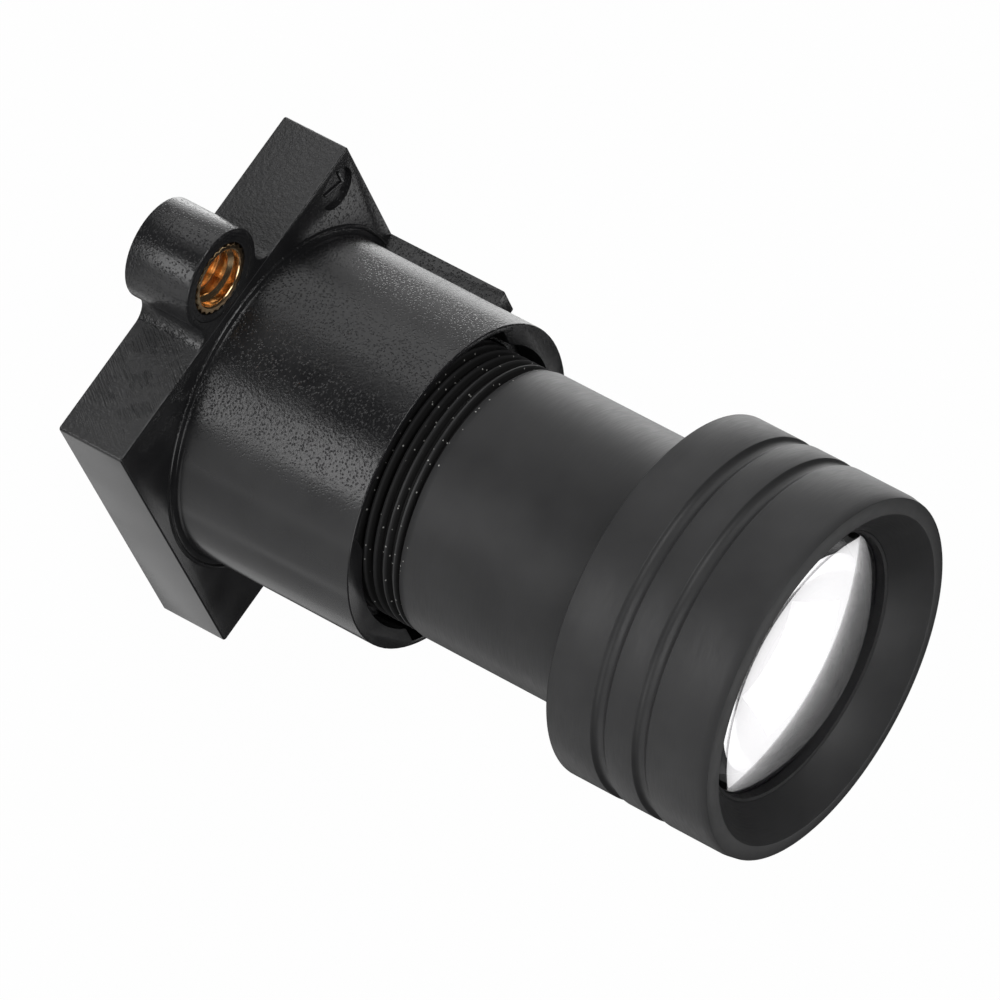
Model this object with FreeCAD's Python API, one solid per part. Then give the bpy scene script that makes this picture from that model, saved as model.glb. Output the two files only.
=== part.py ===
import FreeCAD, Part
import math
import os

# Security camera lens: an M12 lens screwed into its moulded holder.
# Millimetres. Z is the optical axis and points out of the front glass.
# The origin is the centre of the mounting face, which is the back of the plate and its two bosses.
# X points to the side with the key rib, and the bosses lie on +Y and -Y.

Vector = FreeCAD.Vector
ORIGIN = Vector(0, 0, 0)
Z_AXIS = Vector(0, 0, 1)

# Base plate of the holder
plate_side = 16.36
plate_thickness = 3.25
plate_corner_radius = 0.15
plate_edge_chamfer = 0.05

# Screw bosses and their blends into the plate
boss_pitch = 20.52
boss_radius = 2.24
boss_blend_radius = 0.77
boss_spot_radius = 1.94
boss_spot_depth = 0.05

# Sunk spot for the mould number
spot_offset = 6.82
spot_radius = 0.97
spot_depth = 0.24

# Holder barrel and its rim
holder_outer_radius = 7.33
holder_height = 12.21
holder_root_blend = 0.29
holder_rim_chamfer = 0.04
holder_counterbore_radius = 6.4
holder_counterbore_depth = 1.4
cutout_width = 10.65
cutout_wall = 0.24
cutout_depth = 2.81

# Key rib on the +X side
rib_width = 1.45
rib_top = 9.16
rib_corner_radius = 0.1

# Sensor pocket and light opening in the back of the plate
pocket_side = 12.78
pocket_corner_radius = 0.97
pocket_depth = 2.52
light_radius = 4.84
light_stop_top = 4.65

# Focus thread, drawn at its major diameter, and its running clearance
thread_radius = 6.0
thread_clearance = 0.05
thread_end_chamfer = 0.29

# Brass inserts for the two mounting screws
insert_length = 3.0
insert_knurl_radius = 1.6
insert_knurl_depth = 0.12
insert_knurl_teeth = 24
insert_waist_radius = 1.37
insert_waist_length = 0.68
insert_bore_radius = 1.03
insert_mouth_radius = 1.36
insert_fit_clearance = 0.02

# Lens barrel, outside; at its middle focus the tube stands this far off the holder's rim
tube_stand = 1.58
thread_length = 6.37
tube_radius = 6.06
tube_rear_chamfer_length = 0.38
tube_length = 9.07
head_inset = 0.05
head_length = 8.08
head_rear_chamfer = 0.06
head_front_chamfer_radial = 0.08
head_front_chamfer_axial = 0.46
groove_width = 0.7
groove_floor_width = 0.19
groove_depth = 0.17
groove_one_from_rear = 2.6
groove_two_from_rear = 4.66

# Hood cone in the front of the head
hood_lip_width = 0.77
hood_rim_rise = 0.09
hood_seat_radius = 6.05
hood_depth = 1.37

# Inside of the lens barrel
stack_bore_radius = 5.03
stack_lip_radius = 4.45
stack_lip_length = 0.68
front_seat_depth = 2.47

# Glass and spacers of the stack
glass_clearance = 0.03
stack_end_clearance = 0.05
cement_gap = 0.03
rim_land = 0.53
front_lens_centre = 3.6
front_lens_front_curve = 11.13
front_lens_back_curve = 58.08
front_lens_land = 0.12
front_lens_clearance = 0.03
front_lens_rest_gap = 0.03
front_ring_width = 0.12
front_ring_bevel = 0.05
front_ring_clearance = 0.02
front_ring_gap = 0.03

spacer_inner_radius = 4.5
spacer_wall_clearance = 0.03
stop_spacer_length = 1.26
stop_hole_radius = 2.61
stop_thickness = 0.12
middle_spacer_length = 1.45
rear_spacer_length = 2.81
baffle_thickness = 0.39
baffle_hole_radius = 3.48
tail_spacer_length = 1.55
rear_ring_length = 0.87
rear_ring_hole_radius = 4.07
rear_ring_slot_width = 0.77
rear_ring_slot_depth = 0.44

# Rims and curves of the glass from front to back; a positive curve bulges outwards
crown_rim = 1.55
crown_front_curve = 12.58
cemented_curve = 13.55
flint_rim = 1.94
flint_rear_curve = -21.3
field_rim = 1.36
field_front_curve = 15.49
field_rear_curve = 25.17
rear_flint_rim = 2.03
rear_flint_front_curve = -17.42
rear_cemented_curve = 11.62
rear_crown_rim = 1.45
rear_crown_rear_curve = 19.36
tail_rim = 1.26
tail_front_curve = 17.42
tail_rear_curve = -38.72

# Short chords that stand for the curve of a glass face, from its rim to the axis
front_face_chords = 6
inner_face_chords = 2

# How far a cut runs past the face that it opens, and what counts as the same place
cut_overrun = 1.0
same_place = 1e-6


def curve_sag(curve_radius, height):
    """Depth of a spherical face at a height from the axis, with the sign of its curve."""
    size = abs(curve_radius)
    sag = size - math.sqrt(size * size - height * height)
    return math.copysign(sag, curve_radius)


def ring_body(points):
    """Solid turned about the axis from a closed outline of (radius, z) points."""
    corners = [Vector(radius, 0, z) for radius, z in points]
    wire = Part.makePolygon(corners + [corners[0]])
    return Part.Face(wire).revolve(ORIGIN, Z_AXIS, 360)


def tube_body(outer, inner, low, high):
    return ring_body([(inner, low), (outer, low), (outer, high), (inner, high)])


def is_level(edge):
    return edge.BoundBox.ZLength < same_place


def rounded_square(side, corner, low, high):
    """Square prism on the axis with rounded upright edges."""
    half = side / 2
    box = Part.makeBox(side, side, high - low, Vector(-half, -half, low))
    upright = [edge for edge in box.Edges if not is_level(edge)]
    return box.makeFillet(corner, upright)


def arc_through_middle(start, middle, end):
    return Part.Arc(start, middle, end).toShape()


def around(centre, radius, angle):
    return Vector(centre.x + radius * math.cos(angle), centre.y + radius * math.sin(angle), centre.z)


def boss_pad(side_sign, low, high):
    """Round boss with a concave blend on each side that runs out along the plate's side."""
    plate_edge = plate_side / 2
    boss_y = boss_pitch / 2
    blend_y = plate_edge + boss_blend_radius
    reach = boss_radius + boss_blend_radius
    blend_x = math.sqrt(reach * reach - (boss_y - blend_y) ** 2)
    boss_centre = Vector(0, boss_y, low)
    blend_right = Vector(blend_x, blend_y, low)
    blend_left = Vector(-blend_x, blend_y, low)
    lean = math.atan2(blend_y - boss_y, blend_x)
    touch_right = around(boss_centre, boss_radius, lean)
    touch_left = around(boss_centre, boss_radius, math.pi - lean)
    towards_touch = math.pi + lean
    towards_foot = 1.5 * math.pi
    middle_right = around(blend_right, boss_blend_radius, (towards_touch + towards_foot) / 2)
    middle_left = Vector(-middle_right.x, middle_right.y, low)
    foot_right = Vector(blend_x, plate_edge, low)
    foot_left = Vector(-blend_x, plate_edge, low)
    inner_right = Vector(blend_x, plate_edge - boss_radius, low)
    inner_left = Vector(-blend_x, plate_edge - boss_radius, low)
    edges = [
        arc_through_middle(foot_right, middle_right, touch_right),
        arc_through_middle(touch_right, Vector(0, boss_y + boss_radius, low), touch_left),
        arc_through_middle(touch_left, middle_left, foot_left),
        Part.makeLine(foot_left, inner_left),
        Part.makeLine(inner_left, inner_right),
        Part.makeLine(inner_right, foot_right),
    ]
    pad = Part.Face(Part.Wire(edges)).extrude(Vector(0, 0, high - low))
    if side_sign < 0:
        pad.rotate(ORIGIN, Z_AXIS, 180)
    return pad


def base_plate():
    """Plate and bosses in one outline, with a broken edge all round its back and front."""
    plate = rounded_square(plate_side, plate_corner_radius, 0, plate_thickness)
    pads = [boss_pad(sign, 0, plate_thickness) for sign in (1, -1)]
    plate = plate.fuse(pads).removeSplitter()
    rims = [edge for edge in plate.Edges if is_level(edge)]
    return plate.makeChamfer(plate_edge_chamfer, rims)


def holder_barrel():
    """Outside of the holder's barrel, with the blend at its root and the broken rim edge."""
    top = holder_height
    outer = holder_outer_radius
    foot = outer + holder_root_blend
    blend_end = plate_thickness + holder_root_blend
    lean = holder_root_blend * math.sqrt(0.5)
    return ring_body([
        (0, pocket_depth), (foot, pocket_depth), (foot, plate_thickness),
        (foot - lean, blend_end - lean), (outer, blend_end),
        (outer, top - holder_rim_chamfer), (outer - holder_rim_chamfer, top), (0, top),
    ])


def key_rib():
    """Rib from the plate up the +X side of the barrel, flush with the plate's side."""
    outer_face = plate_side / 2
    inner_face = light_radius
    low = pocket_depth
    rib = Part.makeBox(outer_face - inner_face, rib_width, rib_top - low,
                       Vector(inner_face, -rib_width / 2, low))
    front_outer = [edge for edge in rib.Edges
                   if abs(edge.BoundBox.XMin - outer_face) < same_place
                   and abs(edge.BoundBox.ZMin - rib_top) < same_place]
    return rib.makeFillet(rib_corner_radius, front_outer)


def holder_bores():
    """Everything that is hollow on the optical axis of the holder."""
    top = holder_height + cut_overrun
    thread_bore = thread_radius + thread_clearance
    bore = Part.makeCylinder(thread_bore, top - light_stop_top, Vector(0, 0, light_stop_top))
    light = Part.makeCylinder(light_radius, light_stop_top, ORIGIN)
    counterbore_low = holder_height - holder_counterbore_depth
    counterbore = Part.makeCylinder(holder_counterbore_radius, top - counterbore_low,
                                    Vector(0, 0, counterbore_low))
    pocket = rounded_square(pocket_side, pocket_corner_radius, -cut_overrun, pocket_depth)
    return bore.fuse([light, counterbore, pocket])


def rim_cutouts():
    """Channel across the rim along Y that leaves a thin wall outside at each end."""
    low = holder_height - cutout_depth
    height = cutout_depth + cut_overrun
    reach = holder_outer_radius - cutout_wall
    disc = Part.makeCylinder(reach, height, Vector(0, 0, low))
    channel = Part.makeBox(cutout_width, 2 * reach, height,
                           Vector(-cutout_width / 2, -reach, low))
    return disc.common(channel)


def insert_hole(side_sign):
    centre = Vector(0, side_sign * boss_pitch / 2, -cut_overrun)
    radius = insert_knurl_radius + insert_fit_clearance
    return Part.makeCylinder(radius, plate_thickness + 2 * cut_overrun, centre, Z_AXIS)


def boss_spot(side_sign):
    centre = Vector(0, side_sign * boss_pitch / 2, plate_thickness - boss_spot_depth)
    return Part.makeCylinder(boss_spot_radius, boss_spot_depth + cut_overrun, centre, Z_AXIS)


def mould_spot():
    centre = Vector(spot_offset, spot_offset, plate_thickness - spot_depth)
    return Part.makeCylinder(spot_radius, spot_depth + cut_overrun, centre, Z_AXIS)


def holder():
    body = base_plate().fuse([holder_barrel(), key_rib()])
    cuts = [holder_bores(), rim_cutouts(), mould_spot()]
    for sign in (1, -1):
        cuts.append(insert_hole(sign))
        cuts.append(boss_spot(sign))
    return body.cut(cuts).removeSplitter()


def insert_top():
    return plate_thickness - boss_spot_depth


def knurl_band(low, high):
    """Band of straight knurling: a tooth every step, with its valley half a step on."""
    corners = []
    step = math.pi / insert_knurl_teeth
    for index in range(2 * insert_knurl_teeth):
        depth = insert_knurl_depth * (index % 2)
        corners.append(around(Vector(0, 0, low), insert_knurl_radius - depth, index * step))
    wire = Part.makePolygon(corners + [corners[0]])
    return Part.Face(wire).extrude(Vector(0, 0, high - low))


def brass_insert(side_sign):
    """Knurled insert with a plain waist and a countersunk mouth at each end."""
    top = insert_top()
    low = top - insert_length
    middle = (top + low) / 2
    waist_low = middle - insert_waist_length / 2
    waist_high = middle + insert_waist_length / 2
    mouth = insert_mouth_radius - insert_bore_radius
    waist = Part.makeCylinder(insert_waist_radius, insert_waist_length, Vector(0, 0, waist_low))
    body = knurl_band(low, waist_low).fuse([waist, knurl_band(waist_high, top)])
    hole = ring_body([
        (0, low), (insert_mouth_radius, low), (insert_bore_radius, low + mouth),
        (insert_bore_radius, top - mouth), (insert_mouth_radius, top), (0, top),
    ])
    insert = body.cut(hole)
    insert.translate(Vector(0, side_sign * boss_pitch / 2, 0))
    return insert


def tube_low():
    return holder_height + tube_stand


def barrel_rear():
    return tube_low() - thread_length


def head_radius():
    return plate_side / 2 - head_inset


def hood_mouth_radius():
    return head_radius() - hood_lip_width


def head_low():
    return tube_low() + tube_length


def head_top():
    return head_low() + head_length


def hood_foot():
    return head_top() - hood_depth


def front_seat():
    """Plane that the front glass rests on."""
    return hood_foot() - front_seat_depth


def stack_top():
    """Plane under the inner lip that the stack of glass and spacers is pushed against."""
    return front_seat() - stack_lip_length


def groove_points(from_rear):
    middle = head_low() + from_rear
    floor = head_radius() - groove_depth
    half = groove_width / 2
    half_floor = groove_floor_width / 2
    return [
        (head_radius(), middle - half), (floor, middle - half_floor),
        (floor, middle + half_floor), (head_radius(), middle + half),
    ]


def lens_barrel():
    """One turned piece: thread, tube, head with two grooves, hood cone and inner bores."""
    outer = head_radius()
    rear = barrel_rear()
    front = head_top()
    face_edge = front - hood_rim_rise
    outside = [
        (stack_bore_radius, rear),
        (thread_radius - thread_end_chamfer, rear),
        (thread_radius, rear + thread_end_chamfer),
        (thread_radius, tube_low()),
        (tube_radius, tube_low() + tube_rear_chamfer_length),
        (tube_radius, head_low()),
        (outer - head_rear_chamfer, head_low()),
        (outer, head_low() + head_rear_chamfer),
    ]
    outside += groove_points(groove_one_from_rear)
    outside += groove_points(groove_two_from_rear)
    outside += [
        (outer, face_edge - head_front_chamfer_axial),
        (outer - head_front_chamfer_radial, face_edge),
    ]
    inside = [
        (hood_mouth_radius(), front),
        (hood_seat_radius, hood_foot()),
        (hood_seat_radius, front_seat()),
        (stack_lip_radius, front_seat()),
        (stack_lip_radius, stack_top()),
        (stack_bore_radius, stack_top()),
    ]
    return ring_body(outside + inside)


def lens_face(clear_radius, rim_z, curve_radius, outward, chords):
    """Points of a glass face from its rim to the axis; a positive curve bulges outwards."""
    pole_z = rim_z + outward * curve_sag(curve_radius, clear_radius)
    heights = [clear_radius * step / chords for step in range(chords, -1, -1)]
    return [(height, pole_z - outward * curve_sag(curve_radius, height)) for height in heights]


def lens_solid(edge_radius, clear_radius, front_z, rear_z, front_curve, rear_curve, front_chords):
    """Glass with flat rim lands at front_z and rear_z around its two curved faces."""
    front = lens_face(clear_radius, front_z, front_curve, 1, front_chords)
    rear = lens_face(clear_radius, rear_z, rear_curve, -1, inner_face_chords)
    return ring_body([(edge_radius, rear_z), (edge_radius, front_z)] + front + rear[::-1])


def front_lens_low():
    return front_seat() + front_lens_rest_gap


def front_lens_land_z():
    rise = curve_sag(front_lens_front_curve, front_lens_clear_radius())
    return front_lens_low() + front_lens_centre - rise


def front_lens_edge_radius():
    return hood_seat_radius - front_lens_clearance


def front_lens_clear_radius():
    return front_lens_edge_radius() - front_lens_land


def front_lens():
    return lens_solid(front_lens_edge_radius(), front_lens_clear_radius(), front_lens_land_z(),
                      front_lens_low(), front_lens_front_curve, -front_lens_back_curve,
                      front_face_chords)


def front_ring():
    """Thin black ring that holds the front glass down and ends at the foot of the hood cone."""
    low = front_lens_land_z() + front_ring_gap
    high = hood_foot() - front_ring_clearance
    outer = hood_seat_radius - front_ring_clearance
    inner = outer - front_ring_width
    return ring_body([(inner, low), (outer, low), (outer, high), (inner, high - front_ring_bevel)])


def spacer(low, high):
    return tube_body(stack_bore_radius - spacer_wall_clearance, spacer_inner_radius, low, high)


def baffled_spacer(low, high):
    """Spacer tube with a thin inner baffle half way along."""
    middle = (low + high) / 2
    outer = stack_bore_radius - spacer_wall_clearance
    half = baffle_thickness / 2
    return ring_body([
        (spacer_inner_radius, low), (outer, low), (outer, high), (spacer_inner_radius, high),
        (spacer_inner_radius, middle + half), (baffle_hole_radius, middle),
        (spacer_inner_radius, middle - half),
    ])


def stop_disc(low, high):
    """Thin disc whose hole opens out towards the rear, so that its edge is sharp."""
    outer = stack_bore_radius - spacer_wall_clearance
    return ring_body([(stop_hole_radius, high), (outer, high), (outer, low),
                      (stop_hole_radius + stop_thickness, low)])


def glass_edge_radius():
    return stack_bore_radius - glass_clearance


def glass_clear_radius():
    return glass_edge_radius() - rim_land


def glass(front_z, edge_thickness, front_curve, rear_curve):
    return lens_solid(glass_edge_radius(), glass_clear_radius(), front_z, front_z - edge_thickness,
                      front_curve, rear_curve, inner_face_chords)


def lens_stack():
    """Every piece pushed in from the rear, each placed below the one in front of it."""
    pieces = {}
    z = stack_top() - stack_end_clearance
    crown_stand = curve_sag(crown_front_curve, glass_clear_radius())
    pieces["front_spacer"] = spacer(z - crown_stand, z)
    z -= crown_stand
    pieces["crown_lens"] = glass(z, crown_rim, crown_front_curve, cemented_curve)
    z -= crown_rim + cement_gap
    pieces["flint_lens"] = glass(z, flint_rim, -cemented_curve, flint_rear_curve)
    z -= flint_rim
    pieces["stop_spacer"] = spacer(z - stop_spacer_length, z)
    z -= stop_spacer_length
    pieces["aperture_stop"] = stop_disc(z - stop_thickness, z)
    z -= stop_thickness
    pieces["middle_spacer"] = spacer(z - middle_spacer_length, z)
    z -= middle_spacer_length
    pieces["field_lens"] = glass(z, field_rim, field_front_curve, field_rear_curve)
    z -= field_rim
    pieces["rear_spacer"] = baffled_spacer(z - rear_spacer_length, z)
    z -= rear_spacer_length
    pieces["rear_flint_lens"] = glass(z, rear_flint_rim, rear_flint_front_curve, -rear_cemented_curve)
    z -= rear_flint_rim + cement_gap
    pieces["rear_crown_lens"] = glass(z, rear_crown_rim, rear_cemented_curve, rear_crown_rear_curve)
    z -= rear_crown_rim
    pieces["tail_spacer"] = spacer(z - tail_spacer_length, z)
    z -= tail_spacer_length
    pieces["tail_lens"] = glass(z, tail_rim, tail_front_curve, tail_rear_curve)
    z -= tail_rim
    return pieces, z


def rear_ring(high):
    """Ring that closes the stack, with two slots across its back for a wrench."""
    low = high - rear_ring_length
    outer = stack_bore_radius - spacer_wall_clearance
    ring = tube_body(outer, rear_ring_hole_radius, low, high)
    slot = Part.makeBox(2 * outer, rear_ring_slot_width, rear_ring_slot_depth,
                        Vector(-outer, -rear_ring_slot_width / 2, low))
    return ring.cut(slot)


def all_parts():
    parts = {
        "holder": holder(),
        "brass_insert_front_y": brass_insert(1),
        "brass_insert_back_y": brass_insert(-1),
        "lens_barrel": lens_barrel(),
        "front_ring": front_ring(),
        "front_lens": front_lens(),
    }
    stack, stack_low = lens_stack()
    parts.update(stack)
    parts["rear_ring"] = rear_ring(stack_low - stack_end_clearance)
    return parts


os.makedirs("parts", exist_ok=True)
for name, shape in all_parts().items():
    shape.exportStep(os.path.join("parts", name + ".step"))
    print(name, "solids", len(shape.Solids), "valid", shape.isValid(), "volume", round(shape.Volume, 2))
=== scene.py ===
import bmesh
import bpy
import math
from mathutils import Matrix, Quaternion, Vector


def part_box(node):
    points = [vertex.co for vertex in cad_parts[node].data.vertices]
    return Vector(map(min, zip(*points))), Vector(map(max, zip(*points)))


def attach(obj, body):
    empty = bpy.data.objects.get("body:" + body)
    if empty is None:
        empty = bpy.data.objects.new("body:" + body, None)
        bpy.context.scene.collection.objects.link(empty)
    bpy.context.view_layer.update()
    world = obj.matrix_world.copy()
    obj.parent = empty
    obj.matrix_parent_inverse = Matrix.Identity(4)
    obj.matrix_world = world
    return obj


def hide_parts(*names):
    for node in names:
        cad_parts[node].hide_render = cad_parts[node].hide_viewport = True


# Security camera lens: the looks of an M12 lens in its moulded holder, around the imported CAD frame.
# Metres. Z is the optical axis and points out of the front glass; the holder's plate lies at its foot.

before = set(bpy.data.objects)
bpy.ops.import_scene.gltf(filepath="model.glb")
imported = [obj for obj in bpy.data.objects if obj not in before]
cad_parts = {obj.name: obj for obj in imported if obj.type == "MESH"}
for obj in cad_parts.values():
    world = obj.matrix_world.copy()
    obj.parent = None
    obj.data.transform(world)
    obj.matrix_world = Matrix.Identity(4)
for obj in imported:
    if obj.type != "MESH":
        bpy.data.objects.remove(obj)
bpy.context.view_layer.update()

mm = 0.001
full_turn = 2 * math.pi

# Camera, from the fit to the outlines in the photo
camera_aim = Vector((0.319, 0.095, 14.189)) * mm
camera_distance = 442.9 * mm
camera_azimuth = 107.141
camera_elevation = 26.138
camera_roll = math.radians(117.618)
camera_lens = 390.29

# Turned shapes
turn_steps = 160
merge_distance = 0.0005 * mm
sharp_angle = math.radians(28)
turned_edge = 0.025 * mm

# Thread ridges: half widths as shares of the pitch, and how far the foot is sunk, as a share of the depth
ridge_base = 0.46
ridge_tip = 0.07
ridge_sunk = 0.2

# Lens barrel: its rear end, thread, tube and head, from the rear to the front
stack_bore = 5.03 * mm
thread_crest = 5.98 * mm
thread_root = 5.69 * mm
thread_pitch = 0.5 * mm
thread_lead_in = 0.25 * mm
thread_run_out = 0.05 * mm
thread_start = 0.35 * mm
thread_turns = 12.4
thread_steps = 72
tube_stand = 1.58 * mm
tube_radius = 6.06 * mm
tube_rear_bevel = 0.38 * mm
tube_length = 9.07 * mm
head_edge = 0.05 * mm
groove_places = (2.6 * mm, 4.66 * mm)
groove_half_width = 0.35 * mm
groove_depth = 0.2 * mm
groove_points = 12
face_rise = 0.09 * mm
face_bevel_radial = 0.08 * mm
face_bevel_axial = 0.46 * mm
hood_lip = 0.77 * mm
hood_foot = 6.05 * mm
hood_depth = 1.37 * mm
seat_depth = 3.84 * mm
seat_lip_radius = 4.45 * mm
seat_lip_length = 0.68 * mm
ring_width = 0.12 * mm
ring_bevel = 0.05 * mm

# Brass inserts
insert_teeth = 24
insert_knurl_depth = 0.12 * mm
insert_waist = 1.37 * mm
insert_waist_length = 0.68 * mm
insert_edge = 0.02 * mm
screw_minor = 1.05 * mm
screw_major = 1.27 * mm
screw_pitch = 0.45 * mm
screw_start = 0.3 * mm
screw_turns = 5.4
screw_steps = 36
mouth_radius = 1.33 * mm

# Glass: rim lands and the radius of each spherical face; a positive curve bulges outwards
front_land = 0.12 * mm
inner_land = 0.53 * mm
glass_curves = {
    "front_lens": (11.13 * mm, -58.08 * mm),
    "crown_lens": (12.58 * mm, 13.55 * mm),
    "flint_lens": (-13.55 * mm, -21.3 * mm),
    "field_lens": (15.49 * mm, 25.17 * mm),
    "rear_flint_lens": (-17.42 * mm, -11.62 * mm),
    "rear_crown_lens": (11.62 * mm, 19.36 * mm),
    "tail_lens": (17.42 * mm, -38.72 * mm),
}
curve_points = 16

# Mould number: a raised figure in its sunk spot, drawn with its top towards the key rib's side
spot_place = Vector((6.82, 6.82, 3.01)) * mm
figure_outline = ((-0.40, 0.58), (0.40, 0.58), (0.40, 0.46), (-0.06, -0.58), (-0.20, -0.58),
                  (0.25, 0.45), (-0.40, 0.45))
figure_height = 0.10 * mm
figure_edge = 0.03 * mm

# Holder: the clean-up of its CAD mesh, its soft edges, and the thin bead round the foot of its barrel
cad_merge_distance = 0.001 * mm
flat_angle = math.radians(0.8)
holder_edge = 0.02 * mm
plate_front = 3.25 * mm
bead_inner = 7.62 * mm
bead_width = 0.2 * mm
bead_height = 0.12 * mm
bead_points = 6


def radius_of(node):
    """Outer radius of a turned CAD node."""
    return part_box(node)[1][0]


def join(target, added):
    """Moves one bmesh into another."""
    mesh = bpy.data.meshes.new("joined")
    added.to_mesh(mesh)
    added.free()
    target.from_mesh(mesh)
    bpy.data.meshes.remove(mesh)


def finish_mesh(name, bm):
    """Closes the mesh work and makes an object of it, with smooth faces and crisp edges."""
    bmesh.ops.remove_doubles(bm, verts=bm.verts, dist=merge_distance)
    bmesh.ops.recalc_face_normals(bm, faces=bm.faces)
    mesh = bpy.data.meshes.new(name)
    bm.to_mesh(mesh)
    bm.free()
    mesh.shade_smooth()
    mesh.set_sharp_from_angle(angle=sharp_angle)
    piece = bpy.data.objects.new(name, mesh)
    bpy.context.scene.collection.objects.link(piece)
    return piece


def place_piece(piece, body, node, material):
    """Gives a piece its body, the CAD node that it replaces and its material."""
    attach(piece, body)
    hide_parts(node)
    piece.data.materials.clear()
    piece.data.materials.append(material)


def turned(outline, steps, closed=True):
    """Bmesh of an outline of (radius, z) points turned about the optical axis."""
    bm = bmesh.new()
    points = [bm.verts.new((radius, 0, z)) for radius, z in outline]
    edges = [bm.edges.new(pair) for pair in zip(points, points[1:])]
    if closed:
        edges.append(bm.edges.new((points[-1], points[0])))
    bmesh.ops.spin(bm, geom=points + edges, cent=(0, 0, 0), axis=(0, 0, 1), dvec=(0, 0, 0),
                   angle=full_turn, steps=steps, use_merge=True)
    bmesh.ops.remove_doubles(bm, verts=bm.verts, dist=merge_distance)
    bmesh.ops.recalc_face_normals(bm, faces=bm.faces)
    return bm


def break_edges(bm, width):
    """Small round on every sharp edge."""
    sharp = [edge for edge in bm.edges if edge.is_manifold and edge.calc_face_angle() > sharp_angle]
    bmesh.ops.bevel(bm, geom=sharp, offset=width, offset_type="OFFSET", segments=2,
                    profile=0.5, affect="EDGES", material=-1, clamp_overlap=True)


def helix_ridge(root, crest, pitch, low, turns, steps_per_turn):
    """Closed right-handed ridge from the root radius to the crest radius."""
    bm = bmesh.new()
    base = pitch * ridge_base
    tip = pitch * ridge_tip
    sunk = root + (root - crest) * ridge_sunk
    outline = [(sunk, low - base), (crest, low - tip), (crest, low + tip), (sunk, low + base)]
    points = [bm.verts.new((radius, 0, z)) for radius, z in outline]
    edges = [bm.edges.new(pair) for pair in zip(points, points[1:] + points[:1])]
    steps = round(turns * steps_per_turn)
    bmesh.ops.spin(bm, geom=points + edges, cent=(0, 0, 0), axis=(0, 0, 1),
                   dvec=(0, 0, pitch / steps_per_turn), angle=steps * full_turn / steps_per_turn,
                   steps=steps, use_merge=False)
    open_edges = [edge for edge in bm.edges if edge.is_boundary]
    bmesh.ops.holes_fill(bm, edges=open_edges, sides=4)
    return bm


def groove(head, middle):
    """Points of a round-bottomed groove across the head."""
    points = []
    for index in range(groove_points + 1):
        across = 2 * index / groove_points - 1
        depth = groove_depth * (1 - abs(across) ** 3)
        points.append((head - depth, middle + groove_half_width * across))
    return points


def make_barrel():
    """The turned barrel: thread, tube, head with its grooves and hood cone, and the bores inside."""
    head = radius_of("lens_barrel")
    low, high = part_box("lens_barrel")[0][2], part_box("lens_barrel")[1][2]
    tube_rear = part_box("holder")[1][2] + tube_stand
    head_rear = tube_rear + tube_length
    face = high - face_rise
    seat = high - seat_depth
    outline = [
        (stack_bore, low), (thread_root - thread_lead_in, low), (thread_root, low + thread_lead_in),
        (thread_root, tube_rear - thread_run_out), (thread_crest, tube_rear),
        (tube_radius, tube_rear + tube_rear_bevel), (tube_radius, head_rear),
        (head - head_edge, head_rear), (head, head_rear + head_edge),
    ]
    for place in groove_places:
        outline += groove(head, head_rear + place)
    outline += [
        (head, face - face_bevel_axial), (head - face_bevel_radial, face), (head - hood_lip, high),
        (hood_foot, high - hood_depth), (hood_foot, seat), (seat_lip_radius, seat),
        (seat_lip_radius, seat - seat_lip_length), (stack_bore, seat - seat_lip_length),
    ]
    bm = turned(outline, turn_steps)
    break_edges(bm, turned_edge)
    start = low + thread_start
    join(bm, helix_ridge(thread_root, thread_crest, thread_pitch, start, thread_turns, thread_steps))
    return finish_mesh("turned_barrel", bm)


def make_ring():
    """Thin black ring over the edge of the front glass."""
    low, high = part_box("front_ring")
    outer = high[0]
    inner = outer - ring_width
    outline = [(inner, low[2]), (outer, low[2]), (outer, high[2]), (inner, high[2] - ring_bevel)]
    return finish_mesh("glass_ring", turned(outline, turn_steps))


def sag(curve, height):
    """Depth of a spherical face at a height from its axis."""
    size = abs(curve)
    return math.copysign(size - math.sqrt(size * size - height * height), curve)


def make_glass(node):
    """Smooth glass between the lowest and highest points of its CAD node."""
    front_curve, rear_curve = glass_curves[node]
    low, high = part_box(node)
    land = front_land if node == "front_lens" else inner_land
    edge = high[0]
    clear = edge - land
    front_sag = sag(front_curve, clear)
    rear_sag = sag(rear_curve, clear)
    front_rim = high[2] - max(front_sag, 0)
    rear_rim = low[2] + max(rear_sag, 0)
    heights = [clear * step / curve_points for step in range(curve_points + 1)]
    outline = [(height, rear_rim - rear_sag + sag(rear_curve, height)) for height in heights]
    outline += [(edge, rear_rim), (edge, front_rim)]
    outline += [(height, front_rim + front_sag - sag(front_curve, height)) for height in reversed(heights)]
    return finish_mesh("smooth_" + node, turned(outline, turn_steps, closed=False))


def knurled_band(tip, low, high, mouth_at_low):
    """Ring with straight knurling outside and the screw's bore and mouth inside."""
    mouth = mouth_radius - screw_major
    outline = [(tip, low), (tip, high)]
    if mouth_at_low:
        outline += [(screw_major, high), (screw_major, low + mouth), (mouth_radius, low)]
    else:
        outline += [(mouth_radius, high), (screw_major, high - mouth), (screw_major, low)]
    bm = turned(outline, 2 * insert_teeth)
    for vert in bm.verts:
        tooth = round(math.atan2(vert.co.y, vert.co.x) / full_turn * 2 * insert_teeth)
        if tooth % 2 and vert.co.xy.length > insert_waist:
            vert.co.xy *= (tip - insert_knurl_depth) / tip
    break_edges(bm, insert_edge)
    return bm


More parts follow.
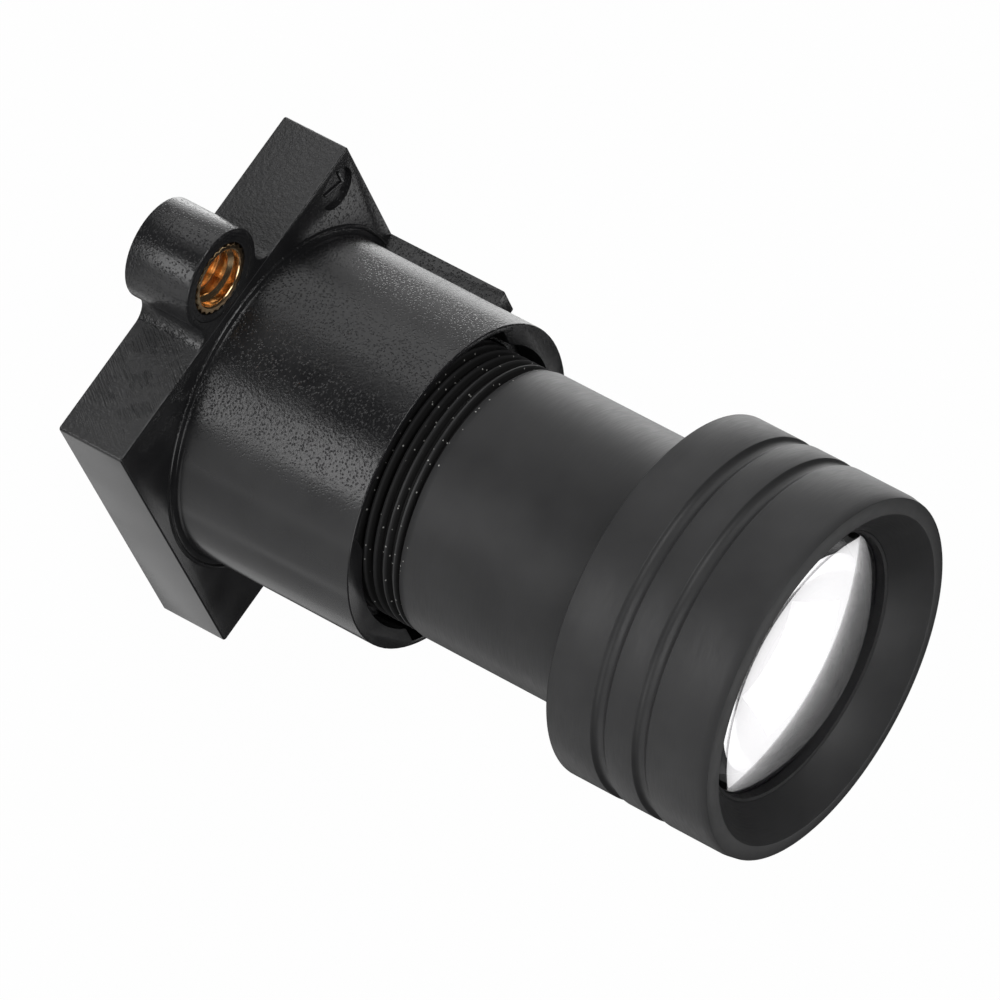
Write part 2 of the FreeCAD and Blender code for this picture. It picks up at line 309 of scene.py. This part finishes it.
def make_insert(node):
    """Knurled brass insert with its screw thread."""
    low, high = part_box(node)
    tip = (high[1] - low[1]) / 2
    length = high[2] - low[2]
    band = (length - insert_waist_length) / 2
    bm = turned([(screw_major, band), (insert_waist, band), (insert_waist, length - band),
                 (screw_major, length - band)], 2 * insert_teeth)
    join(bm, knurled_band(tip, 0, band, True))
    join(bm, knurled_band(tip, length - band, length, False))
    join(bm, helix_ridge(screw_major, screw_minor, screw_pitch, screw_start, screw_turns, screw_steps))
    centre = ((low[0] + high[0]) / 2, (low[1] + high[1]) / 2, low[2])
    bmesh.ops.translate(bm, verts=bm.verts, vec=centre)
    return finish_mesh(node.replace("brass_insert", "threaded_insert"), bm)


def make_holder():
    """The moulding: a merged copy of its CAD node with soft edges and its mould number."""
    bm = bmesh.new()
    bm.from_mesh(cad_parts["holder"].data)
    bmesh.ops.remove_doubles(bm, verts=bm.verts, dist=cad_merge_distance)
    bmesh.ops.dissolve_limit(bm, angle_limit=flat_angle, verts=bm.verts, edges=bm.edges)
    break_edges(bm, holder_edge)
    join(bm, mould_figure())
    join(bm, foot_bead())
    return finish_mesh("moulded_holder", bm)


def foot_bead():
    """Thin half-round bead on the plate round the foot of the barrel."""
    half_width = bead_width / 2
    middle = bead_inner + half_width
    foot = plate_front - bead_height
    outline = [(middle + half_width, foot), (middle - half_width, foot)]
    for index in range(bead_points + 1):
        turn = math.pi * index / bead_points
        outline.append((middle - math.cos(turn) * half_width, plate_front + math.sin(turn) * bead_height))
    return turned(outline, turn_steps)


def mould_figure():
    """Plain raised figure 7 on the floor of the sunk spot, with rounded edges."""
    bm = bmesh.new()
    corners = [bm.verts.new(spot_place + Vector((up, -right, 0)) * mm) for right, up in figure_outline]
    base = bm.faces.new(corners)
    raised = bmesh.ops.extrude_face_region(bm, geom=[base])["geom"]
    top = [item for item in raised if isinstance(item, bmesh.types.BMVert)]
    bmesh.ops.translate(bm, verts=top, vec=(0, 0, figure_height))
    bmesh.ops.recalc_face_normals(bm, faces=bm.faces)
    break_edges(bm, figure_edge)
    return bm


# Noise: the span that most of its values lie in, and the upper span that makes darker or lighter patches
most_of_noise = (0.3, 0.7)
patches_of_noise = (0.35, 0.7)

# Materials: colours, with the two tones of a clouded surface as a pair
plastic_tones = ((0.012, 0.012, 0.013), (0.022, 0.022, 0.023))
# Painted light: the lighter colour of the plate's side faces across Y
painted_light_side_tone = (0.045, 0.045, 0.046)
metal_tones = ((0.031, 0.031, 0.032), (0.041, 0.041, 0.042))
# Painted shade for the roots of the barrel's thread
painted_root_shade = (0.012, 0.012, 0.012)
dust = (0.5, 0.5, 0.48)
spacer_tones = ((0.008, 0.008, 0.009), (0.02, 0.02, 0.021))
brass_tones = ((0.93, 0.71, 0.43), (0.76, 0.46, 0.24))
glass_edge = (0.02, 0.02, 0.022)
clear_tint = (0.98, 0.975, 0.985)
# Painted shade: dark tint of the inner glass, which darkens the inside of the lens
painted_shade_tint = (0.30, 0.27, 0.33)
coat_tint = (0.99, 0.98, 1.0, 1)

# Roughness of each finish, from its smoothest to its roughest places
plastic_gloss = (0.17, 0.25)
metal_gloss = (0.42, 0.52)
spacer_gloss = (0.4, 0.6)
brass_gloss = (0.10, 0.22)
blackened_roughness = 0.5

# Grain of the moulding: it fades from the worn side to the smooth side, as places along X
smooth_side = -5.2 * mm
worn_side = -3.4 * mm
smooth_share = 0.08
plastic_cloud = 3.0 * mm
grain_size = 0.13 * mm
grain_depth = 0.014 * mm
pit_spacing = 0.12 * mm
pit_rim = (0.14, 0.38)
pit_depth = 0.012 * mm

# Spark-eroded side faces of the plate on both sides of the optical axis along Y, also given painted light
side_face = 8.18 * mm
eroded_size = 0.2 * mm
eroded_depth = 0.05 * mm
eroded_roughness = 0.16
side_face_skin = (0.02 * mm, 0.04 * mm)

# Tool marks near one corner of the plate: full up to a share of their reach, in patches with gaps
scratch_centre = Vector((-4.8, 8.2, 1.7)) * mm
scratch_reach = 3.2 * mm
scratch_full = 0.6
scratch_gaps = (0.4, 0.52)
scratch_turn = (0, math.radians(-36), 0)
scratch_stretch = (1.0, 1.0, 16.0)
scratch_size = 0.08 * mm
scratch_depth = 0.15 * mm
scratch_patch = 0.9 * mm

# Barrel: turning marks, and painted shade below one radius and dust behind one height of its thread
turning_stretch = (0.05, 0.05, 1.0)
turning_size = 0.05 * mm
turning_depth = 0.001 * mm
metal_cloud = 2.5 * mm
metal_grain_size = 0.06 * mm
metal_grain_depth = 0.0015 * mm
painted_shade_radius = 5.86 * mm
dust_end = 14.1 * mm
dust_fade = 0.1 * mm
dust_spacing = 0.30 * mm
dust_speck = (0.09, 0.14)
thread_shine = (0.2, 0.4)

# Spacers, brass and glass
spacer_cloud = 0.8 * mm
spacer_grain_size = 0.08 * mm
brass_patch = 0.5 * mm
brass_stretch = (1.0, 1.0, 0.2)
brass_grain_size = 0.03 * mm
small_grain_depth = 0.002 * mm
glass_haze = 1.2 * mm
front_index = 1.6
front_coat = 0.05
inner_index = 1.5
coat_index = 1.4
edge_fade = 0.01 * mm
front_blackening = 0.2 * mm


def node_of(tree, kind, inputs=None, **settings):
    """Adds a shader node, sets its options, and sets or links its inputs."""
    made = tree.nodes.new("ShaderNode" + kind)
    for key, value in settings.items():
        setattr(made, key, value)
    for key, value in (inputs or {}).items():
        if isinstance(value, bpy.types.NodeSocket):
            tree.links.new(value, made.inputs[key])
        else:
            made.inputs[key].default_value = value
    return made


def new_material(name):
    """Empty material with its surface node, and the place of each point in the object's own frame."""
    material = bpy.data.materials.new(name)
    material.use_nodes = True
    tree = material.node_tree
    tree.nodes.clear()
    surface = node_of(tree, "BsdfPrincipled")
    node_of(tree, "OutputMaterial", {"Surface": surface.outputs["BSDF"]})
    place = node_of(tree, "TexCoord").outputs["Object"]
    return material, tree, surface, place


def noise(tree, place, size, detail=3.0, roughness=0.55):
    """Noise whose blobs measure about size, in metres."""
    return node_of(tree, "TexNoise", {"Vector": place, "Scale": 1 / size, "Detail": detail,
                                      "Roughness": roughness}).outputs["Fac"]


def between(tree, value, low, high, to_low, to_high):
    """Value carried over from one range to another, and held at the ends."""
    return node_of(tree, "MapRange", {"Value": value, "From Min": low, "From Max": high,
                                      "To Min": to_low, "To Max": to_high}).outputs["Result"]


def blend_colours(tree, share, first, second):
    """Mix of two colours, each a plain colour or another node's output."""
    mixer = node_of(tree, "Mix", data_type="RGBA")
    sockets = [socket for socket in mixer.inputs if socket.type == "RGBA"]
    for socket, value in zip(sockets, (first, second)):
        if isinstance(value, bpy.types.NodeSocket):
            tree.links.new(value, socket)
        else:
            socket.default_value = (*value, 1)
    tree.links.new(share, mixer.inputs[0])
    return [socket for socket in mixer.outputs if socket.type == "RGBA"][0]


def grain_bump(tree, height, depth, strength=1.0, below=None):
    """Relief of a depth in metres, on top of the relief below it."""
    inputs = {"Height": height, "Distance": depth, "Strength": strength}
    if below:
        inputs["Normal"] = below
    return node_of(tree, "Bump", inputs).outputs["Normal"]


def stretched(tree, place, scale):
    """Place scaled along its axes, so that a pattern on it is drawn out."""
    return node_of(tree, "Mapping", {"Vector": place, "Scale": scale}).outputs["Vector"]


def split(tree, place):
    """Outputs with the X, Y and Z of a place."""
    return node_of(tree, "SeparateXYZ", {"Vector": place}).outputs


def from_axis(tree, place):
    """Distance of a place from the optical axis."""
    along = split(tree, place)
    flat = node_of(tree, "CombineXYZ", {"X": along["X"], "Y": along["Y"]})
    return node_of(tree, "VectorMath", {0: flat.outputs[0]}, operation="LENGTH").outputs["Value"]


def combine(tree, operation, *values):
    """Result of one arithmetic node."""
    return node_of(tree, "Math", dict(enumerate(values)), operation=operation).outputs[0]


def clouded(tree, place, size, tones, span):
    """Colour that drifts between two tones over a span of the noise, and the cloud that steers it."""
    cloud = noise(tree, place, size, 2)
    return blend_colours(tree, between(tree, cloud, *span, 0, 1), *tones), cloud


def from_dots(tree, place, spacing):
    """Distance from scattered dots, as a share of their spacing."""
    dots = node_of(tree, "TexVoronoi", {"Vector": place, "Scale": 1 / spacing}, feature="F1")
    return dots.outputs["Distance"]


def on_eroded_and_lit_side(tree, place):
    """One on the plate's side faces across Y, and zero elsewhere."""
    off_centre = combine(tree, "ABSOLUTE", split(tree, place)["Y"])
    off_side = combine(tree, "ABSOLUTE", combine(tree, "SUBTRACT", off_centre, side_face))
    return between(tree, off_side, *side_face_skin, 1, 0)


def tool_marks(tree, place, below):
    """Patchy parallel scratches near one corner, laid over the bumps below."""
    away = node_of(tree, "VectorMath", {0: place, 1: scratch_centre}, operation="DISTANCE")
    near = between(tree, away.outputs["Value"], scratch_reach * scratch_full, scratch_reach, 1, 0)
    patchy = between(tree, noise(tree, place, scratch_patch, 2), *scratch_gaps, 0, 1)
    brushed = node_of(tree, "Mapping", {"Vector": place, "Rotation": scratch_turn,
                                        "Scale": scratch_stretch}, vector_type="TEXTURE")
    lines = noise(tree, brushed.outputs["Vector"], scratch_size, 1)
    return grain_bump(tree, lines, scratch_depth, combine(tree, "MULTIPLY", near, patchy), below)


def plastic_material():
    """Black moulding: glossy where the mould was polished, pitted where it was worn, lighter by painted
    light on its side faces across Y.
    """
    material, tree, surface, place = new_material("black_moulding")
    colour, cloud = clouded(tree, place, plastic_cloud, plastic_tones, patches_of_noise)
    eroded_and_lit_side = on_eroded_and_lit_side(tree, place)
    # Painted light: the side faces across Y get a lighter colour; their roughness and bumps are the finish
    tree.links.new(blend_colours(tree, eroded_and_lit_side, colour, painted_light_side_tone), surface.inputs["Base Color"])
    gloss = between(tree, cloud, *most_of_noise, *plastic_gloss)
    matt = combine(tree, "MULTIPLY", eroded_and_lit_side, eroded_roughness)
    tree.links.new(combine(tree, "ADD", gloss, matt), surface.inputs["Roughness"])
    worn = between(tree, split(tree, place)["X"], smooth_side, worn_side, smooth_share, 1.0)
    fine = noise(tree, place, grain_size, 3, 0.6)
    grain = grain_bump(tree, fine, grain_depth, worn)
    hollow = between(tree, from_dots(tree, place, pit_spacing), *pit_rim, 0, 1)
    pitted = grain_bump(tree, hollow, pit_depth, worn, grain)
    coarse = noise(tree, place, eroded_size, 2)
    rough = grain_bump(tree, coarse, eroded_depth, eroded_and_lit_side, pitted)
    tree.links.new(tool_marks(tree, place, rough), surface.inputs["Normal"])
    return material


def anodised_material():
    """Black anodised metal with fine turning lines, painted shade in the thread roots and dust on its
    crests.
    """
    material, tree, surface, place = new_material("black_anodised")
    clean = clouded(tree, place, metal_cloud, metal_tones, most_of_noise)[0]
    # Painted shade: the colour darkens below a radius, in the roots of the thread
    crest = between(tree, from_axis(tree, place), painted_shade_radius, thread_crest, 0, 1)
    root_shaded = blend_colours(tree, crest, painted_root_shade, clean)
    behind = between(tree, split(tree, place)["Z"], dust_end, dust_end - dust_fade, 0, 1)
    speck = between(tree, from_dots(tree, place, dust_spacing), *dust_speck, 1, 0)
    dusty = combine(tree, "MULTIPLY", speck, behind)
    tree.links.new(blend_colours(tree, dusty, root_shaded, dust), surface.inputs["Base Color"])
    tree.links.new(between(tree, crest, 0, 1, *thread_shine), surface.inputs["Specular IOR Level"])
    rings = noise(tree, stretched(tree, place, turning_stretch), turning_size, 2)
    tree.links.new(between(tree, rings, *most_of_noise, *metal_gloss), surface.inputs["Roughness"])
    grain = grain_bump(tree, noise(tree, place, metal_grain_size, 2), metal_grain_depth)
    tree.links.new(grain_bump(tree, rings, turning_depth, 1.0, grain), surface.inputs["Normal"])
    return material


def spacer_material():
    """Matt black of the spacers and rings."""
    material, tree, surface, place = new_material("spacer_black")
    fine = noise(tree, place, spacer_grain_size, 2)
    colour = blend_colours(tree, noise(tree, place, spacer_cloud, 3), *spacer_tones)
    tree.links.new(colour, surface.inputs["Base Color"])
    tree.links.new(between(tree, fine, *most_of_noise, *spacer_gloss), surface.inputs["Roughness"])
    tree.links.new(grain_bump(tree, fine, small_grain_depth), surface.inputs["Normal"])
    return material


def brass_material():
    """Brass with fine turning lines and darker patches."""
    material, tree, surface, place = new_material("brass")
    patch = noise(tree, place, brass_patch, 3)
    fine = noise(tree, stretched(tree, place, brass_stretch), brass_grain_size, 2)
    colour = blend_colours(tree, between(tree, patch, *patches_of_noise, 0, 1), *brass_tones)
    tree.links.new(colour, surface.inputs["Base Color"])
    surface.inputs["Metallic"].default_value = 1.0
    tree.links.new(between(tree, fine, *most_of_noise, *brass_gloss), surface.inputs["Roughness"])
    tree.links.new(grain_bump(tree, fine, small_grain_depth), surface.inputs["Normal"])
    return material


def glass_material(name, edge_radius, tint, index, coat):
    """Glass of a tint that is blackened from one radius outwards; the inner glass's dark tint is painted
    shade.
    """
    material, tree, surface, place = new_material(name)
    haze = noise(tree, place, glass_haze, 3)
    clear = blend_colours(tree, haze, tint, [min(1, part * 1.02) for part in tint])
    edge = between(tree, from_axis(tree, place), edge_radius - edge_fade, edge_radius, 0, 1)
    tree.links.new(blend_colours(tree, edge, clear, glass_edge), surface.inputs["Base Color"])
    tree.links.new(between(tree, edge, 0, 1, 0, blackened_roughness), surface.inputs["Roughness"])
    tree.links.new(between(tree, edge, 0, 1, 1, 0), surface.inputs["Transmission Weight"])
    tree.links.new(between(tree, edge, 0, 1, coat, 0), surface.inputs["Coat Weight"])
    surface.inputs["IOR"].default_value = index
    surface.inputs["Coat IOR"].default_value = coat_index
    surface.inputs["Coat Roughness"].default_value = 0.0
    surface.inputs["Coat Tint"].default_value = coat_tint
    return material


# Stage: soft boxes as azimuth and elevation in degrees, side in metres, and brightness
box_distance = 0.5
soft_boxes = (
    (15, -20, 0.3, 0.75), (47, -20, 0.3, 1.3), (70, -20, 0.2, 0.6), (128, -20, 0.26, 3.7),
    (158, -20, 0.3, 0.75), (193, -20, 0.36, 0.65), (227, -20, 0.3, 0.5), (253, -26, 0.16, 0.65),
    (317, -20, 0.3, 1.5), (345, -20, 0.3, 0.7), (335, -40, 0.3, 1.4),
    (77, 40, 0.3, 3.5), (167, 40, 0.3, 2.2), (287, 50, 0.3, 1.5),
)
room_strength = 0.03
through_strength = 1.2
floor_radius = 0.9
floor_colour = (0.86, 0.86, 0.86, 1)
floor_white_share = 0.985


def white_world():
    """White behind everything and through the glass, and dim for the light that falls on the object."""
    world = bpy.data.worlds.new("studio_room")
    bpy.context.scene.world = world
    world.use_nodes = True
    tree = world.node_tree
    tree.nodes.clear()
    rays = node_of(tree, "LightPath").outputs
    through = between(tree, rays["Is Transmission Ray"], 0, 1, room_strength, through_strength)
    strength = combine(tree, "MAXIMUM", rays["Is Camera Ray"], through)
    back = node_of(tree, "Background", {"Color": (1, 1, 1, 1), "Strength": strength})
    node_of(tree, "OutputWorld", {"Surface": back.outputs["Background"]})


def pale_floor():
    """Round floor that the camera sees as nearly white."""
    bm = bmesh.new()
    bmesh.ops.create_circle(bm, cap_ends=True, segments=96, radius=floor_radius)
    mesh = bpy.data.meshes.new("floor")
    bm.to_mesh(mesh)
    bm.free()
    floor = bpy.data.objects.new("floor", mesh)
    bpy.context.scene.collection.objects.link(floor)
    material = bpy.data.materials.new("pale_floor")
    material.use_nodes = True
    tree = material.node_tree
    tree.nodes.clear()
    rays = node_of(tree, "LightPath").outputs
    matt = node_of(tree, "BsdfDiffuse", {"Color": floor_colour})
    white = node_of(tree, "Emission", {"Color": (1, 1, 1, 1), "Strength": 1.0})
    share = between(tree, rays["Is Camera Ray"], 0, 1, 0, floor_white_share)
    mixed = node_of(tree, "MixShader", {0: share, 1: matt.outputs[0], 2: white.outputs[0]})
    node_of(tree, "OutputMaterial", {"Surface": mixed.outputs[0]})
    mesh.materials.append(material)
    floor.visible_glossy = False
    floor.visible_shadow = False


def direction(azimuth, elevation):
    """Unit vector from the object towards an azimuth and elevation in degrees."""
    turn, rise = math.radians(azimuth), math.radians(elevation)
    return Vector((math.cos(rise) * math.cos(turn), math.cos(rise) * math.sin(turn), math.sin(rise)))


def softbox(azimuth, elevation, box_side, radiance):
    """Square lamp that faces the middle of the object; its brightness is per unit of its face."""
    lamp = bpy.data.lights.new("soft_box", "AREA")
    lamp.shape = "SQUARE"
    lamp.size = box_side
    lamp.energy = radiance * math.pi * box_side * box_side
    stand = bpy.data.objects.new("soft_box", lamp)
    bpy.context.scene.collection.objects.link(stand)
    towards = direction(azimuth, elevation)
    stand.location = camera_aim + towards * box_distance
    stand.rotation_euler = towards.to_track_quat("Z", "Y").to_euler()
    stand.visible_camera = False
    stand.visible_transmission = False


def photo_camera():
    """Camera at the photo's viewing angle."""
    data = bpy.data.cameras.new("photo_camera")
    data.lens = camera_lens
    data.sensor_width = 36
    data.clip_start = 0.01
    data.clip_end = 10
    camera = bpy.data.objects.new("photo_camera", data)
    bpy.context.scene.collection.objects.link(camera)
    back = direction(camera_azimuth, camera_elevation)
    camera.location = camera_aim + back * camera_distance
    camera.rotation_mode = "QUATERNION"
    camera.rotation_quaternion = back.to_track_quat("Z", "Y") @ Quaternion((0, 0, 1), camera_roll)
    bpy.context.scene.camera = camera


photo_camera()
white_world()
pale_floor()
for box in soft_boxes:
    softbox(*box)

plastic = plastic_material()
anodised = anodised_material()
spacer_black = spacer_material()
brass = brass_material()
front_edge = radius_of("front_lens") - front_blackening
inner_edge = radius_of("crown_lens") - edge_fade
front_glass = glass_material("coated_glass", front_edge, clear_tint, front_index, front_coat)
# The inner glass takes the painted shade tint
inner_glass = glass_material("inner_glass", inner_edge, painted_shade_tint, inner_index, 0)

place_piece(make_holder(), "mount", "holder", plastic)
place_piece(make_barrel(), "screw_barrel", "lens_barrel", anodised)
place_piece(make_ring(), "screw_barrel", "front_ring", spacer_black)
for name in ("brass_insert_front_y", "brass_insert_back_y"):
    place_piece(make_insert(name), "mount", name, brass)
for name in glass_curves:
    glass = front_glass if name == "front_lens" else inner_glass
    place_piece(make_glass(name), "glass_stack", name, glass)
for name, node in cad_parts.items():
    if "spacer" in name or name in ("aperture_stop", "rear_ring"):
        node.data.materials.clear()
        node.data.materials.append(spacer_black)

bpy.context.scene.view_settings.view_transform = "Standard"
